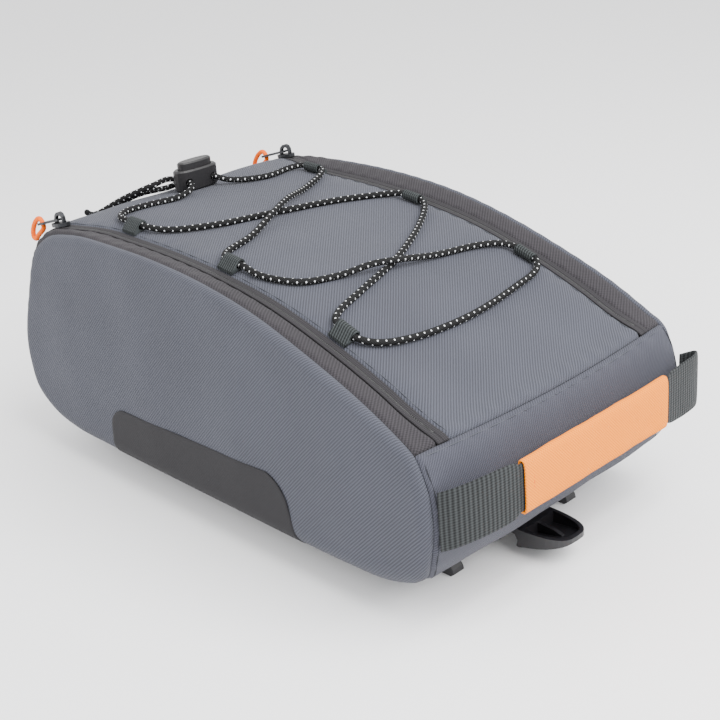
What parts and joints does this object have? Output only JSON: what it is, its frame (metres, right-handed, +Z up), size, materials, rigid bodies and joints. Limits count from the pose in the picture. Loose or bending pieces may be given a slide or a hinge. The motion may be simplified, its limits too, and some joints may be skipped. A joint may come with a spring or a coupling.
{
  "type": "bicycle trunk bag",
  "caption": "Soft wedge-shaped bicycle trunk bag with a zipped lid, corded lacing, a bowed handle and a rack adapter with a release lever underneath.",
  "frame": {"origin": "on the ground under the middle of the whole bag's box, level with the adapter's claws", "axes": "+X towards the low end with the handle and the release lever, +Y across the bag to its right, +Z up"},
  "size_m": [0.3882, 0.211, 0.1758],
  "materials": {
    "padded_polyester": "fine diagonal twill, padded",
    "band_polyester": "herringbone weave, warm grey",
    "zip_tape": "woven tape with a coil zip",
    "rubberised_cloth": "rubberised, dull",
    "ribbed_webbing": "ribbed, dark green-grey",
    "orange_cloth": "soft woven, orange",
    "orange_cord": "braided, orange",
    "bungee_cord": "braided, black with white dots",
    "hard_plastic": "fine satin",
    "zip_slider_metal": "dark, satin"
  },
  "bodies": {
    "bag": {"abrasion_patch_left": "rubberised_cloth", "abrasion_patch_right": "rubberised_cloth", "adapter_plate": "hard_plastic", "base_panel": "padded_polyester", "bungee_cord": "bungee_cord", "cord_lock_body": "hard_plastic", "cord_loop_left_1": "ribbed_webbing", "cord_loop_left_2": "ribbed_webbing", "cord_loop_left_3": "ribbed_webbing", "cord_loop_right_1": "ribbed_webbing", "cord_loop_right_2": "ribbed_webbing", "cord_loop_right_3": "ribbed_webbing", "handle_sleeve": "orange_cloth", "handle_strap": "ribbed_webbing", "lever_pin": "hard_plastic", "lid_panel": "padded_polyester", "low_end_panel": "padded_polyester", "side_panel_left": "padded_polyester", "side_panel_right": "padded_polyester", "tall_end_panel": "padded_polyester", "zip_slider_left": "zip_slider_metal", "zip_slider_right": "zip_slider_metal", "zipper_band_left": "band_polyester", "zipper_band_right": "band_polyester", "zipper_left": "zip_tape", "zipper_right": "zip_tape"},
    "release_lever": {"release_lever": "hard_plastic"},
    "cord_lock_button": {"cord_lock_button": "hard_plastic"},
    "zip_pull_left": {"zip_pull_left": "zip_slider_metal", "pull_cord_left": "orange_cord"},
    "zip_pull_right": {"zip_pull_right": "zip_slider_metal", "pull_cord_right": "orange_cord"}
  },
  "joints": [
    {"name": "lever_hinge", "type": "hinge", "parent": "bag", "child": "release_lever", "pos_m": [0.1388, 0, 0.0115], "axis": [0, 1, 0], "range_deg": [0, 12], "stiffness_Nm_per_rad": 0.3},
    {"name": "button_slide", "type": "slide", "parent": "bag", "child": "cord_lock_button", "axis": [0, 0, -1], "range_m": [0, 0.002], "stiffness_N_per_m": 800},
    {"name": "pull_swing_left", "type": "hinge", "parent": "bag", "child": "zip_pull_left", "pos_m": [-0.13468, -0.0894, 0.15935], "axis": [0, 1, 0], "range_deg": [0, 110]},
    {"name": "pull_swing_right", "type": "hinge", "parent": "bag", "child": "zip_pull_right", "pos_m": [-0.13468, 0.0894, 0.15935], "axis": [0, 1, 0], "range_deg": [0, 110]}
  ]
}
